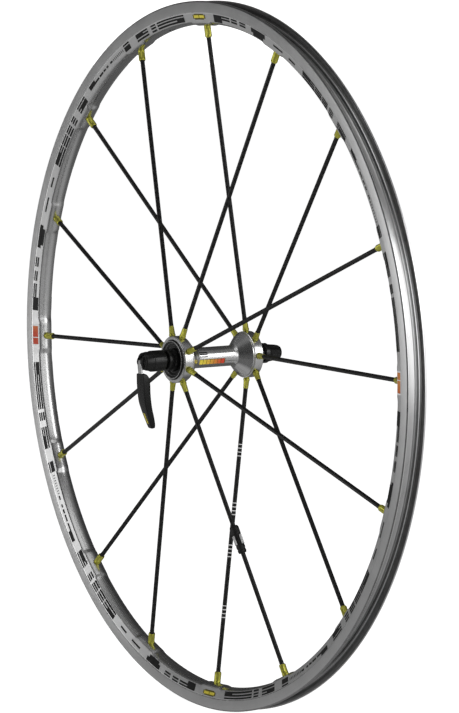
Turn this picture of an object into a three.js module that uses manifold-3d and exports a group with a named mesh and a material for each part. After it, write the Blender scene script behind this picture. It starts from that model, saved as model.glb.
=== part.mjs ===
// Bicycle front wheel with radial tubular spokes, a sealed-bearing hub and a quick-release skewer.
// Millimetres. The origin is the wheel's centre and the axle lies along Y: the skewer's lever is on
// the -Y side and its nut on the +Y side. +Z is up.
import * as THREE from 'three';
import { mergeVertices } from 'three/addons/utils/BufferGeometryUtils.js';
import Module from 'manifold-3d';

const wasm = await Module();
wasm.setup();

// Driving dimensions.
const GAP = 0.3;                      // between pieces that touch on the real wheel
const SPOKE_COUNT = 16;
const SPOKE_STEP = (2 * Math.PI) / SPOKE_COUNT;
const FIRST_SPOKE = THREE.MathUtils.degToRad(1.56);
const VALVE_ANGLE = FIRST_SPOKE + 4.5 * SPOKE_STEP;
const MAGNET_SPOKE = 13;

const RIM_R = 317;                    // 700C rim, bead seat diameter 622
const RIM_HALF_W = 9.9;
const BEAD_SEAT_R = 311;
const WELL_R = 307;
const BRAKE_TRACK_IN_R = 307;
const BED_R = 295;                    // crown of the bed that faces the hub
const INNER_HALF_W = 7.5;             // 15 mm between the hooks
const WALL = 1.6;
const VALVE_HOLE_R = 3.25;

const FLANGE_R = 20.9;
const FLANGE_IN_Y = 32.7;
const FLANGE_OUT_Y = 41.6;
const FLANGE_BORE_R = 17.6;
const HEAD_Y = 36.4;                  // plane of the spoke heads in each flange
const HUB_TUBE_R = 9.2;
const HUB_BORE_R = 7.5;
const BEARING_R = 12;                 // 12 x 24 x 6 cartridge bearings
const BEARING_BORE_R = 6;
const BEARING_IN_Y = 27;
const BEARING_OUT_Y = 33;
const BALL_R = 1.35;
const BALL_COUNT = 9;

const RING_BORE_R = 13;               // ring that retains the spoke heads
const RING_R = 17.2;
const RING_IN_Y = 33.3;
const RING_OUT_Y = 37.6;
const CAP_IN_Y = 38;                  // dust cap

const DROPOUT_Y = 50;                 // half of the 100 mm over-locknut width
const AXLE_R = 5.7;
const AXLE_END_R = 4.5;
const AXLE_END_Y = 54.2;
const END_CAP_R = 9.5;

const TUBE_R = 2.0;                   // carbon spoke tube
const NIPPLE_R = 3.1;
const NIPPLE_LENGTH = 10.4;
const CLIP_SPAN = [156.5, 165];       // distances from the wheel's axle of the sensor magnet's clip,
const MAGNET_SPAN = [165.3, 173.7];   // of the magnet
const COLLAR_SPAN = [174, 181.5];     // and of its collar

const ROD_R = 2.5;                    // M5 skewer
const ROD_LEFT_Y = -64.6;
const ROD_RIGHT_Y = 66.5;
const EYE_R = 3.6;                    // eye round the lever's pin
const CLAMP_Y = 52.4;                 // inner faces of the skewer's head and nut
const RECESS_R = 7.4;                 // pocket for the conical spring
const RECESS_Y = 58.6;
const HEAD_R = 9.4;
const HEAD_END_Y = 73.4;
const SLOT_Y = 65.3;
const SLOT_HALF_W = 3.9;
const PIN_Y = 72.1;                   // lever pivot
const PIN_R = 1.45;
const PIN_HOLE_R = 1.75;
const CAM_R = 5.6;
const CAM_OFFSET = 0.9;               // the clamping travel is twice this
const LEVER_TIP_Z = -60.3;
const NUT_END_Y = 71;

// Finishes.
const finish = (color, metalness, roughness) =>
  new THREE.MeshStandardMaterial({ color, metalness, roughness });
const silver = finish(0xb9bbbd, 1, 0.35);
const steel = finish(0x8d9094, 1, 0.3);
const carbon = finish(0x26272a, 0.1, 0.45);
const olive = finish(0xa9a72c, 0.9, 0.35);
const black = finish(0x141416, 0.4, 0.4);
const plastic = finish(0x1c1c1e, 0, 0.55);
const nylon = finish(0xd8d8d0, 0, 0.6);

// Solids: three.js shapes the pieces, manifold-3d joins and cuts them.
function solid(geometry, matrix = new THREE.Matrix4()) {
  const shape = geometry.clone().applyMatrix4(matrix);
  shape.deleteAttribute('normal');
  shape.deleteAttribute('uv');
  const merged = mergeVertices(shape, 1e-4);
  return new wasm.Manifold(new wasm.Mesh({
    numProp: 3,
    vertProperties: merged.attributes.position.array,
    triVerts: new Uint32Array(merged.index.array),
  }));
}

function geometryOf(manifold) {
  const { vertProperties, triVerts } = manifold.getMesh();
  const geometry = new THREE.BufferGeometry();
  geometry.setAttribute('position', new THREE.BufferAttribute(vertProperties, 3));
  geometry.setIndex(new THREE.BufferAttribute(triVerts, 1));
  return geometry;
}

function mesh(name, geometry, material) {
  const made = new THREE.Mesh(geometry, material);
  made.name = name;
  return made;
}

// Turns [radius, y] points about the Y axis. A profile that is off the axis closes on itself.
function turned(points, segments) {
  const outline = points.map(([r, y]) => new THREE.Vector2(r, y));
  if (points[0][0] > 0) outline.push(outline[0].clone());
  if (THREE.ShapeUtils.area(outline) < 0) outline.reverse();
  return new THREE.LatheGeometry(outline, segments);
}

// A closed profile from its y > 0 half, listed from the middle outwards and back.
function mirrored(half) {
  return [...half, ...half.map(([r, y]) => [r, -y]).reverse()];
}

// Plane shapes thickened between two planes: drawn in [y, z] across X, or in [x, z] across Y.
function plateAcrossX(shape, x0, x1) {
  const place = new THREE.Matrix4().makeBasis(
    new THREE.Vector3(0, 1, 0), new THREE.Vector3(0, 0, 1), new THREE.Vector3(1, 0, 0));
  return thickened(shape, x1 - x0).translate(0, 0, x0).applyMatrix4(place);
}

function plateAcrossY(shape, y0, y1) {
  const place = new THREE.Matrix4().makeBasis(
    new THREE.Vector3(1, 0, 0), new THREE.Vector3(0, 0, 1), new THREE.Vector3(0, -1, 0));
  return thickened(shape, y1 - y0).translate(0, 0, -y1).applyMatrix4(place);
}

function thickened(shape, depth) {
  return new THREE.ExtrudeGeometry(shape, { depth, bevelEnabled: false, curveSegments: 8 });
}

function polygon(points) {
  return new THREE.Shape(points.map(([u, v]) => new THREE.Vector2(u, v)));
}

function discShape(y, z, radius) {
  return new THREE.Shape().absarc(y, z, radius, 0, 2 * Math.PI);
}

function pinAcrossX(y, radius, halfLength, sides = 16) {
  return new THREE.CylinderGeometry(radius, radius, 2 * halfLength, sides)
    .rotateZ(Math.PI / 2)
    .translate(0, y, 0);
}

// The two ends of the wheel: +1 keeps a piece on the +Y side, -1 turns it to the -Y side.
const ENDS = [['left', -1], ['right', 1]];

function atEnd(side, child) {
  const group = new THREE.Group();
  group.rotation.x = side > 0 ? 0 : Math.PI;
  group.add(child);
  return group;
}

// Spoke i leaves the right flange when i is even and the left flange when it is odd.
function spokeLine(i) {
  const angle = FIRST_SPOKE + i * SPOKE_STEP;
  const side = i % 2 ? -1 : 1;
  const hub = new THREE.Vector3(
    FLANGE_R * Math.cos(angle), side * HEAD_Y, FLANGE_R * Math.sin(angle));
  const rim = new THREE.Vector3(BED_R * Math.cos(angle), 0, BED_R * Math.sin(angle));
  const along = rim.clone().sub(hub);
  const length = along.length();
  const turn = new THREE.Quaternion().setFromUnitVectors(
    new THREE.Vector3(0, 1, 0), along.clone().normalize());
  const label = `${side < 0 ? 'left' : 'right'}_${Math.floor(i / 2) + 1}`;
  return { angle, hub, rim, length, turn, label };
}

// A group whose Y axis runs outwards along spoke i, from its flange or from the rim bed.
function onSpoke(i, fromRim, child) {
  const line = spokeLine(i);
  const group = new THREE.Group();
  group.position.copy(fromRim ? line.rim : line.hub);
  group.quaternion.copy(line.turn);
  group.add(child);
  return group;
}

function drillAlongSpoke(i, fromRim, radius, y0, y1) {
  const line = spokeLine(i);
  const drill = new THREE.CylinderGeometry(radius, radius, y1 - y0, 8);
  drill.translate(0, (y0 + y1) / 2, 0);
  const place = new THREE.Matrix4().compose(
    fromRim ? line.rim : line.hub, line.turn, new THREE.Vector3(1, 1, 1));
  return solid(drill, place);
}

// Rim: a hollow box section with a hooked tyre channel, drilled for the nipples and the valve.
function rim() {
  const section = mirrored([
    [BED_R, 3],
    [BED_R + 0.9, 5.2],
    [BED_R + 2.4, 6.8],
    [BRAKE_TRACK_IN_R - 1, RIM_HALF_W - 0.6],
    [BRAKE_TRACK_IN_R, RIM_HALF_W],
    [RIM_R - 0.7, RIM_HALF_W],
    [RIM_R, RIM_HALF_W - 0.7],
    [RIM_R, INNER_HALF_W + 0.6],
    [RIM_R - 1.2, INNER_HALF_W],
    [RIM_R - 3, INNER_HALF_W + 0.7],
    [BEAD_SEAT_R, INNER_HALF_W + 0.7],
    [BEAD_SEAT_R, 5.6],
    [WELL_R, 4.0],
  ]);
  const hollow = mirrored([
    [BED_R + WALL, 3],
    [BED_R + WALL + 1.6, 5.3],
    [BRAKE_TRACK_IN_R - 0.6, RIM_HALF_W - 2],
    [BEAD_SEAT_R - WALL, RIM_HALF_W - WALL],
    [BEAD_SEAT_R - WALL, 6.3],
    [WELL_R - WALL, 3.8],
  ]);
  const segments = 60;
  let body = solid(turned(section, segments)).subtract(solid(turned(hollow, segments)));
  for (let i = 0; i < SPOKE_COUNT; i++) {
    body = body.subtract(drillAlongSpoke(i, true, 3.2, -3, 4));
  }
  const valve = new THREE.CylinderGeometry(VALVE_HOLE_R, VALVE_HOLE_R, RIM_R - BED_R, 12);
  valve.translate(0, (RIM_R + BED_R) / 2 - 5, 0).rotateZ(-Math.PI / 2).rotateY(-VALVE_ANGLE);
  body = body.subtract(solid(valve));
  return mesh('rim', geometryOf(body), silver);
}

// Spoke: a carbon tube with its bonded alloy hub head. The head passes through the flange and the
// tube ends in the nipple's bore.
function spoke(i) {
  const { length, label } = spokeLine(i);
  const profile = [
    [0, -3], [2.5, -3], [2.5, 0.6], [2.9, 1.0], [2.9, 2.4], [2.2, 9.8],
    [TUBE_R, 9.8], [TUBE_R, length - 2.8], [0, length - 2.8],
  ];
  return onSpoke(i, false, mesh(`spoke_${label}`, turned(profile, 8), carbon));
}

function nipple(i) {
  const profile = [
    [0, -2.4], [TUBE_R + GAP, -2.4], [TUBE_R + GAP, -NIPPLE_LENGTH],
    [2.7, -NIPPLE_LENGTH], [NIPPLE_R, 1 - NIPPLE_LENGTH], [NIPPLE_R, -1.2],
    [2.7, -0.9], [2.7, 3.2], [0, 3.2],
  ];
  const { label } = spokeLine(i);
  return onSpoke(i, true, mesh(`nipple_${label}`, turned(profile, 6), olive));
}

// Sensor magnet on one spoke: a clip, a channel-shaped magnet open to one side, and a collar.
function sensorMagnet() {
  const { label, angle, length, turn } = spokeLine(MAGNET_SPOKE);
  const alongAt = (r) => ((r - FLANGE_R) * length) / (BED_R - FLANGE_R);
  const ring = ([r0, r1], outer) => turned([
    [TUBE_R + GAP, alongAt(r0)], [outer, alongAt(r0)],
    [outer, alongAt(r1)], [TUBE_R + GAP, alongAt(r1)],
  ], 12);
  const open = new THREE.Vector3(Math.sin(-angle), -0.6, 0.1);
  const axis = new THREE.Vector3(0, 1, 0).applyQuaternion(turn);
  open.addScaledVector(axis, -open.dot(axis)).normalize().applyQuaternion(turn.clone().invert());
  const cheek = 4.2;
  const slot = TUBE_R + GAP;
  const channel = polygon([
    [-cheek, 3], [-cheek, -3.6], [cheek, -3.6], [cheek, 3],
    [slot, 3], [slot, -slot], [-slot, -slot], [-slot, 3],
  ]);
  const magnet = new THREE.ExtrudeGeometry(channel, {
    depth: alongAt(MAGNET_SPAN[1]) - alongAt(MAGNET_SPAN[0]), bevelEnabled: false,
  });
  magnet.translate(0, 0, alongAt(MAGNET_SPAN[0]));
  const yAxis = new THREE.Vector3(0, 1, 0);
  magnet.applyMatrix4(new THREE.Matrix4().makeBasis(
    new THREE.Vector3().crossVectors(open, yAxis), open, yAxis));
  return [
    onSpoke(MAGNET_SPOKE, false, mesh(`magnet_clip_${label}`, ring(CLIP_SPAN, cheek), plastic)),
    onSpoke(MAGNET_SPOKE, false, mesh(`magnet_${label}`, magnet, steel)),
    onSpoke(MAGNET_SPOKE, false, mesh(`magnet_collar_${label}`, ring(COLLAR_SPAN, 4), plastic)),
  ];
}

// Hub shell: a waisted tube between two drilled flanges, bored for the bearings.
function hubShell() {
  const section = mirrored([
    [HUB_TUBE_R, 20], [10, 21.6], [20, 31.4], [20, FLANGE_IN_Y - 0.5],
    [FLANGE_R, FLANGE_IN_Y], [FLANGE_R, FLANGE_OUT_Y - 0.5], [FLANGE_R - 0.5, FLANGE_OUT_Y],
    [FLANGE_BORE_R, FLANGE_OUT_Y], [FLANGE_BORE_R, BEARING_OUT_Y],
    [BEARING_R + GAP, BEARING_OUT_Y], [BEARING_R + GAP, BEARING_IN_Y - GAP],
    [HUB_BORE_R, BEARING_IN_Y - GAP],
  ]);
  let body = solid(turned(section, 30));
  for (let i = 0; i < SPOKE_COUNT; i++) {
    body = body.subtract(drillAlongSpoke(i, false, 3, -6, 3));
  }
  return mesh('hub_shell', geometryOf(body), silver);
}

// Pieces that are the same at both ends, drawn on the +Y side.
function bearing(end, side) {
  const race = (r0, r1) => turned([
    [r0, BEARING_IN_Y], [r1, BEARING_IN_Y], [r1, BEARING_OUT_Y], [r0, BEARING_OUT_Y],
  ], 20);
  const inner = mesh(`bearing_inner_race_${end}`, race(BEARING_BORE_R, 7.3), steel);
  const outer = mesh(`bearing_outer_race_${end}`, race(10.7, BEARING_R), steel);
  const middle = (BEARING_IN_Y + BEARING_OUT_Y) / 2;
  let balls = solid(turned([
    [8.6, middle - 1], [9.4, middle - 1], [9.4, middle + 1], [8.6, middle + 1],
  ], 18));
  for (let n = 0; n < BALL_COUNT; n++) {
    const ball = new THREE.SphereGeometry(BALL_R, 6, 3);
    ball.translate(9, middle, 0).rotateY((n * 2 * Math.PI) / BALL_COUNT);
    balls = balls.add(solid(ball));
  }
  const cage = mesh(`bearing_balls_${end}`, geometryOf(balls), steel);
  return [inner, outer, cage].map((piece) => atEnd(side, piece));
}

function retainingRing(end, side) {
  const profile = [
    [RING_BORE_R, RING_IN_Y], [RING_R, RING_IN_Y], [RING_R, RING_OUT_Y], [RING_BORE_R, RING_OUT_Y],
  ];
  return atEnd(side, mesh(`spoke_retaining_ring_${end}`, turned(profile, 24), plastic));
}

function dustCap(end, side) {
  const profile = [
    [END_CAP_R + GAP + 0.1, CAP_IN_Y], [RING_R, CAP_IN_Y], [RING_R, 42.6], [16.6, 43],
    [15.8, 42], [12.6, 40.2], [END_CAP_R + GAP + 0.1, 39.6],
  ];
  return atEnd(side, mesh(`dust_cap_${end}`, turned(profile, 28), black));
}

function endCap(end, side) {
  const profile = [
    [BEARING_BORE_R, 33.4], [7.2, 33.4], [7.2, 37], [END_CAP_R, 39],
    [END_CAP_R, DROPOUT_Y - 0.4], [END_CAP_R - 0.4, DROPOUT_Y],
    [AXLE_END_R + GAP, DROPOUT_Y], [AXLE_END_R + GAP, 44], [BEARING_BORE_R, 44],
  ];
  return atEnd(side, mesh(`axle_end_cap_${end}`, turned(profile, 20), black));
}

function spring(end, side) {
  const [tightR, wideR, wireR, turns] = [4, 6.5, 0.45, 2.5];
  const [nearY, farY] = [AXLE_END_Y + GAP + wireR, RECESS_Y - GAP - wireR];
  class ConicalHelix extends THREE.Curve {
    getPoint(t, target = new THREE.Vector3()) {
      const radius = THREE.MathUtils.lerp(tightR, wideR, t);
      const angle = t * turns * 2 * Math.PI;
      return target.set(
        radius * Math.cos(angle), THREE.MathUtils.lerp(nearY, farY, t), radius * Math.sin(angle));
    }
  }
  const wire = new THREE.Shape().absarc(0, 0, wireR, 0, 2 * Math.PI);
  const geometry = new THREE.ExtrudeGeometry(wire, {
    steps: 22, curveSegments: 3, bevelEnabled: false, extrudePath: new ConicalHelix(),
  });
  return atEnd(side, mesh(`conical_spring_${end}`, geometry, steel));
}

// Hollow axle with a reduced end on each side that drops into the fork.
function axle() {
  const profile = mirrored([
    [AXLE_R, 43.7], [AXLE_END_R, 43.7], [AXLE_END_R, AXLE_END_Y], [ROD_R + 0.4, AXLE_END_Y],
  ]);
  return mesh('axle', turned(profile, 20), silver);
}

// Skewer rod: it ends in a flattened shank and an eye for the lever's pin.
function skewerRod() {
  const flatHalf = 1.6;
  const shank = new THREE.CylinderGeometry(ROD_R, ROD_R, ROD_RIGHT_Y - ROD_LEFT_Y, 12);
  shank.translate(0, (ROD_RIGHT_Y + ROD_LEFT_Y) / 2, 0);
  const flat = new THREE.BoxGeometry(2 * flatHalf, 6, 4.4).translate(0, -67, 0);
  const eye = pinAcrossX(-PIN_Y, EYE_R, flatHalf);
  const hole = pinAcrossX(-PIN_Y, PIN_HOLE_R, 3, 12);
  const body = solid(shank).add(solid(flat)).add(solid(eye)).subtract(solid(hole));
  return mesh('skewer_rod', geometryOf(body), steel);
}

// Skewer head: the housing that clamps the fork, slotted for the lever's cams.
function skewerHead() {
  const profile = [
    [RECESS_R, CLAMP_Y], [HEAD_R - 0.3, CLAMP_Y], [HEAD_R, CLAMP_Y + 0.4], [HEAD_R, 65.6],
    [8.5, HEAD_END_Y - 0.8], [7.6, HEAD_END_Y], [3, HEAD_END_Y], [3, RECESS_Y],
    [RECESS_R, RECESS_Y],
  ];
  const slot = new THREE.BoxGeometry(2 * SLOT_HALF_W, 20, 30).translate(0, SLOT_Y + 10, 0);
  const body = solid(turned(profile, 24)).subtract(solid(slot));
  return atEnd(-1, mesh('skewer_head', geometryOf(body), black));
}

// Lever: two cams on the pin, joined by a narrow neck to a blade that hooks inwards at its tip.
function lever() {
  const cams = [-1, 1].map((s) => {
    const [x0, x1] = s > 0 ? [1.9, 3.6] : [-3.6, -1.9];
    return solid(plateAcrossX(discShape(CAM_OFFSET - PIN_Y, 0, CAM_R), x0, x1));
  });
  const neck = solid(plateAcrossX(polygon([
    [-76.6, -3.2], [-76.4, -7], [-75.6, -12], [-72.6, -12], [-74.2, -8.6], [-74.5, -3.6],
  ]), -2.6, 2.6));
  const side = solid(plateAcrossX(polygon([
    [-76.1, -10], [-75.9, -14], [-75.6, -20], [-74.9, -28], [-73.8, -36], [-71.8, -43],
    [-69.3, -50], [-67.2, -56], [-65.8, -59], [-64.3, LEVER_TIP_Z], [-62.4, -59.8], [-61.7, -57],
    [-63.1, -50], [-65.3, -43], [-66.9, -36], [-67.9, -28], [-68.2, -20], [-69.2, -14], [-71.6, -10],
  ]), -6.2, 6.2));
  const front = new THREE.Shape();
  front.moveTo(-5.2, -10);
  front.lineTo(5.2, -10);
  front.lineTo(6, -13);
  front.lineTo(6, -26);
  front.quadraticCurveTo(5.6, -40, 3.8, -54);
  front.quadraticCurveTo(2.8, LEVER_TIP_Z, 0, LEVER_TIP_Z);
  front.quadraticCurveTo(-2.8, LEVER_TIP_Z, -3.8, -54);
  front.quadraticCurveTo(-5.6, -40, -6, -26);
  front.lineTo(-6, -13);
  const blade = side.intersect(solid(plateAcrossY(front, -85, -55)));
  const hole = solid(pinAcrossX(-PIN_Y, PIN_HOLE_R, 8, 12));
  const body = cams[0].add(cams[1]).add(neck).add(blade).subtract(hole);
  return mesh('lever', geometryOf(body), black);
}

function leverPin() {
  return mesh('lever_pin', pinAcrossX(-PIN_Y, PIN_R, 3.6, 12), steel);
}

function skewerNut() {
  const pocketR = 4.3;
  const profile = [
    [RECESS_R, CLAMP_Y], [8.7, CLAMP_Y], [9.1, CLAMP_Y + 0.4], [9.1, 57], [8.1, 57.5],
    [6.9, 68.5], [5.6, NUT_END_Y], [pocketR, NUT_END_Y], [pocketR, 62.7], [ROD_R + GAP, 62.7],
    [ROD_R + GAP, RECESS_Y], [RECESS_R, RECESS_Y],
  ];
  return mesh('skewer_nut', turned(profile, 20), black);
}

function nutInsert() {
  const profile = [[ROD_R + GAP, 63], [4, 63], [4, 70.4], [ROD_R + GAP, 70.4]];
  return mesh('skewer_nut_insert', turned(profile, 16), nylon);
}

const wheel = new THREE.Group();
wheel.add(rim(), hubShell(), axle());
for (let i = 0; i < SPOKE_COUNT; i++) wheel.add(spoke(i), nipple(i));
for (const [end, side] of ENDS) {
  wheel.add(...bearing(end, side), retainingRing(end, side), dustCap(end, side));
  wheel.add(endCap(end, side), spring(end, side));
}
wheel.add(...sensorMagnet());
wheel.add(skewerRod(), skewerHead(), lever(), leverPin(), skewerNut(), nutInsert());

export default wheel;
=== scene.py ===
import math

import bmesh
import bpy
from mathutils import Matrix, Vector

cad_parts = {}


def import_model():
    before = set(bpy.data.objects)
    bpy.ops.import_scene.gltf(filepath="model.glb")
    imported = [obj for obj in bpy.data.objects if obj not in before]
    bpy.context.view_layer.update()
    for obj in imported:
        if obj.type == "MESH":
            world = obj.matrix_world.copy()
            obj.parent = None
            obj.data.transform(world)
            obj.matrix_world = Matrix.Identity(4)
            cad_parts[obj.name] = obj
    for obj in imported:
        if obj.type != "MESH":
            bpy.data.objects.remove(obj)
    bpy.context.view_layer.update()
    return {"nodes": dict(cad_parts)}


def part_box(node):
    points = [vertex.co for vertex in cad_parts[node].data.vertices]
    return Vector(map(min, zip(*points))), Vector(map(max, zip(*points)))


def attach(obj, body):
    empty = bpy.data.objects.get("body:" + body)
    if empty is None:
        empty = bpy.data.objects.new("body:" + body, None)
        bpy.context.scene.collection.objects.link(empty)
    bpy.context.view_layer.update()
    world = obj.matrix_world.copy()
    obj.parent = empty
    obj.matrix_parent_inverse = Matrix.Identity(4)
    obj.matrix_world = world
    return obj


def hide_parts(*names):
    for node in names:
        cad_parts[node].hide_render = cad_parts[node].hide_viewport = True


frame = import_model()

MM = 0.001
ENDS = (("left", -1), ("right", 1))


# Driving dimensions.
RIM_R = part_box("rim")[1].z / MM
RIM_HALF_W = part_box("rim")[1].y / MM
TRACK_IN_R = RIM_R - 10
BED_R = RIM_R - 22
SPOKE_COUNT = sum(node.startswith("spoke_left_") for node in frame["nodes"]) * 2
FLANGE_R = 20.9
FLANGE_OUT_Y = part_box("hub_shell")[1].y / MM
FLANGE_BORE_R = 17.6
HEAD_Y = 36.4
HUB_TUBE_R = 9.2
HEAD_HOLE_R = 3.08
SPOKE_R = 1.98
NIPPLE_LENGTH = 10.4
NIPPLE_R = 3.1
NIPPLE_BORE_R = 2.15
NIPPLE_HOLE_R = 3.25


# Meshes.
def rounded(points, fillet=0.3, steps=3):
    """A closed outline with its corners rounded. A third number on a point is its own radius."""
    outline = []
    for k, here in enumerate(points):
        corner = Vector(here[:2])
        back = Vector(points[k - 1][:2]) - corner
        ahead = Vector(points[(k + 1) % len(points)][:2]) - corner
        radius = here[2] if len(here) > 2 else fillet
        reach = radius / max(math.tan(back.angle(ahead) / 2), 0.01)
        reach = min(reach, 0.45 * back.length, 0.45 * ahead.length)
        if reach < 0.02:
            outline.append(corner)
            continue
        start, end = corner + back.normalized() * reach, corner + ahead.normalized() * reach
        for step in range(steps + 1):
            t = step / steps
            outline.append(start.lerp(corner, t).lerp(corner.lerp(end, t), t))
    return [(p.x, p.y) for p in outline]


def turned(profile, segments=96, reshape=None, angles=None):
    """A closed (radius, y) profile turned about Y. reshape(radius, y, angle) may vary it round the turn."""
    points, faces, count = [], [], len(profile)
    angles = angles or [2 * math.pi * k / segments for k in range(segments)]
    segments = len(angles)
    for angle in angles:
        for radius, y in profile:
            if reshape:
                radius, y = reshape(radius, y, angle)
            points.append((radius * math.cos(angle), y, radius * math.sin(angle)))
    for k in range(segments):
        a, b = k * count, (k + 1) % segments * count
        for p in range(count):
            q = (p + 1) % count
            faces.append((a + p, a + q, b + q, b + p))
    return points, faces


def lofted(rings):
    """Rings of the same number of points, joined in order and closed at both ends."""
    points = [tuple(p) for ring in rings for p in ring]
    count = len(rings[0])
    faces = [
        (a * count + p, a * count + (p + 1) % count, (a + 1) * count + (p + 1) % count, (a + 1) * count + p)
        for a in range(len(rings) - 1)
        for p in range(count)
    ]
    last = (len(rings) - 1) * count
    faces.append(tuple(range(count))[::-1])
    faces.append(tuple(last + p for p in range(count)))
    return points, faces


def joined(*shapes):
    points, faces = [], []
    for more_points, more_faces in shapes:
        start = len(points)
        points += more_points
        faces += [tuple(start + p for p in face) for face in more_faces]
    return points, faces


def moved(shape, matrix):
    points, faces = shape
    return [tuple(matrix @ Vector(p)) for p in points], faces


def tidy_mesh(mesh, crease=32, outwards=True):
    """Welds the mesh, turns its faces outwards and keeps edges over crease degrees crisp."""
    bm = bmesh.new()
    bm.from_mesh(mesh)
    bmesh.ops.remove_doubles(bm, verts=bm.verts, dist=1e-6)
    bmesh.ops.dissolve_degenerate(bm, edges=bm.edges, dist=1e-7)
    if outwards:
        bmesh.ops.recalc_face_normals(bm, faces=bm.faces)
    for face in bm.faces:
        face.smooth = True
    for edge in bm.edges:
        edge.smooth = len(edge.link_faces) != 2 or edge.calc_face_angle() < math.radians(crease)
    bm.to_mesh(mesh)
    bm.free()


def mesh_of(name, shape, looks):
    points, faces = shape
    mesh = bpy.data.meshes.new(name)
    mesh.from_pydata([[c * MM for c in p] for p in points], [], faces)
    for look in looks if isinstance(looks, (list, tuple)) else [looks]:
        mesh.materials.append(look)
    tidy_mesh(mesh)
    return mesh


def piece(name, shape, look, body, replaces=(), place=Matrix()):
    """A finished piece on a CAD body. shape is points and faces, or a mesh that is shared."""
    mesh = shape if isinstance(shape, bpy.types.Mesh) else mesh_of(name, shape, look)
    made = bpy.data.objects.new(name, mesh)
    bpy.context.scene.collection.objects.link(made)
    made.matrix_world = place
    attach(made, body)
    if replaces:
        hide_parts(*replaces)
    return made


def carve(made, shape, operation="DIFFERENCE"):
    """Cuts a shape out of a piece, or joins it on, and tidies the result."""
    tool = bpy.data.objects.new("tool", mesh_of("tool", shape, []))
    bpy.context.scene.collection.objects.link(tool)
    tool.matrix_world = made.matrix_world
    step = made.modifiers.new("carve", "BOOLEAN")
    step.operation = operation
    step.solver = "MANIFOLD"
    step.object = tool
    result = bpy.data.meshes.new_from_object(made.evaluated_get(bpy.context.evaluated_depsgraph_get()))
    made.modifiers.clear()
    made.data = result
    tidy_mesh(result, outwards=False)
    bpy.data.objects.remove(tool)


def end_place(side):
    """The +Y end stays where it is drawn, and the -Y end is turned half round about X."""
    return Matrix() if side > 0 else Matrix.Rotation(math.pi, 4, "X")


def smooth_step(t):
    t = min(max(t, 0), 1)
    return t * t * (3 - 2 * t)


def between(stations, t):
    """A smooth curve through evenly counted stations, for t from 0 to 1."""
    place = t * (len(stations) - 1)
    k = min(int(place), len(stations) - 2)
    u = place - k
    picked = [stations[min(max(k + step, 0), len(stations) - 1)] for step in (-1, 0, 1, 2)]
    return [
        0.5 * (2 * b + (c - a) * u + (2 * a - 5 * b + 4 * c - d) * u**2 + (3 * b - a - 3 * c + d) * u**3)
        for a, b, c, d in zip(*picked)
    ]


# Materials: a small graph helper, then one function for each finish.
class Look:
    """A material whose constants sit on the shader and whose patterns are linked to it."""

    def __init__(self, name, **constants):
        self.material = bpy.data.materials.new(name)
        self.material.use_nodes = True
        self.tree = self.material.node_tree
        self.shader = self.tree.nodes["Principled BSDF"]
        for socket, value in constants.items():
            self.shader.inputs[socket.replace("_", " ")].default_value = value
        self.place = self.add("TexCoord").outputs["Object"]

    def add(self, kind, settings=(), **inputs):
        node = self.tree.nodes.new("ShaderNode" + kind)
        for key, value in dict(settings).items():
            setattr(node, key, value)
        for key, value in inputs.items():
            self.feed(node.inputs[int(key[1:]) if key[1:].isdigit() else key], value)
        return node

    def feed(self, socket, value):
        if isinstance(value, bpy.types.NodeSocket):
            self.tree.links.new(value, socket)
        else:
            socket.default_value = value

    def math(self, operation, a, b=0.0):
        return self.add("Math", {"operation": operation}, i0=a, i1=b).outputs[0]

    def vector(self, operation, a, b=(0, 0, 0), scale=1.0):
        inputs = {"i0": a, "i3": scale} if operation == "SCALE" else {"i0": a, "i1": b}
        node = self.add("VectorMath", {"operation": operation}, **inputs)
        return node.outputs["Value" if operation in ("LENGTH", "DOT_PRODUCT") else "Vector"]

    def noise(self, vector, scale, detail=3.0, rough=0.6):
        return self.add("TexNoise", Vector=vector, Scale=scale, Detail=detail, Roughness=rough).outputs[0]

    def stretched(self, x, y, z):
        """Object coordinates scaled apart along each axis, for grain that runs one way."""
        return self.vector("MULTIPLY", self.place, (x, y, z))

    def rings(self, fine, around):
        """Coordinates for marks left by turning about Y: fine across them, long around them."""
        flat = self.vector("MULTIPLY", self.place, (1, 0, 1))
        along = self.add("SeparateXYZ", i0=self.place).outputs[1]
        across = self.math("ADD", self.vector("LENGTH", flat), along)
        spread = self.vector("SCALE", self.vector("NORMALIZE", flat), scale=around)
        line = self.add("CombineXYZ", Y=self.math("MULTIPLY", across, fine)).outputs[0]
        return self.vector("ADD", spread, line)

    def spread(self, value, low, high, start=0.35, end=0.65):
        return self.add("MapRange", i0=value, i1=start, i2=end, i3=low, i4=high).outputs[0]

    def colours(self, value, dark, light, start=0.35, end=0.65):
        ramp = self.add("ValToRGB", i0=value)
        for stop, place, colour in zip(ramp.color_ramp.elements, (start, end), (dark, light)):
            stop.position = place
            stop.color = (*colour, 1)
        return ramp.outputs[0]

    def worn_edges(self, under, edge, start=0.52, end=0.6):
        """Lightens the convex edges, broken up by noise, where handling wears a finish."""
        sharp = self.add("NewGeometry").outputs["Pointiness"]
        broken = self.spread(self.noise(self.place, 900), 0.4, 1.0)
        amount = self.math("MULTIPLY", self.spread(sharp, 0.0, 1.0, start, end), broken)
        mix = self.add("Mix", {"data_type": "RGBA"}, i0=amount, i6=under, i7=(*edge, 1))
        return mix.outputs[2]

    def finish(self, colour=None, roughness=None, height=None, strength=0.2, depth=0.0001):
        if colour is not None:
            self.feed(self.shader.inputs["Base Color"], colour)
        if roughness is not None:
            self.feed(self.shader.inputs["Roughness"], roughness)
        if height is not None:
            bump = self.add("Bump", Height=height, Strength=strength, Distance=depth)
            self.feed(self.shader.inputs["Normal"], bump.outputs[0])
        return self.material


def grey(value, warm=0.0):
    return (value + warm, value, value - warm)


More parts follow.
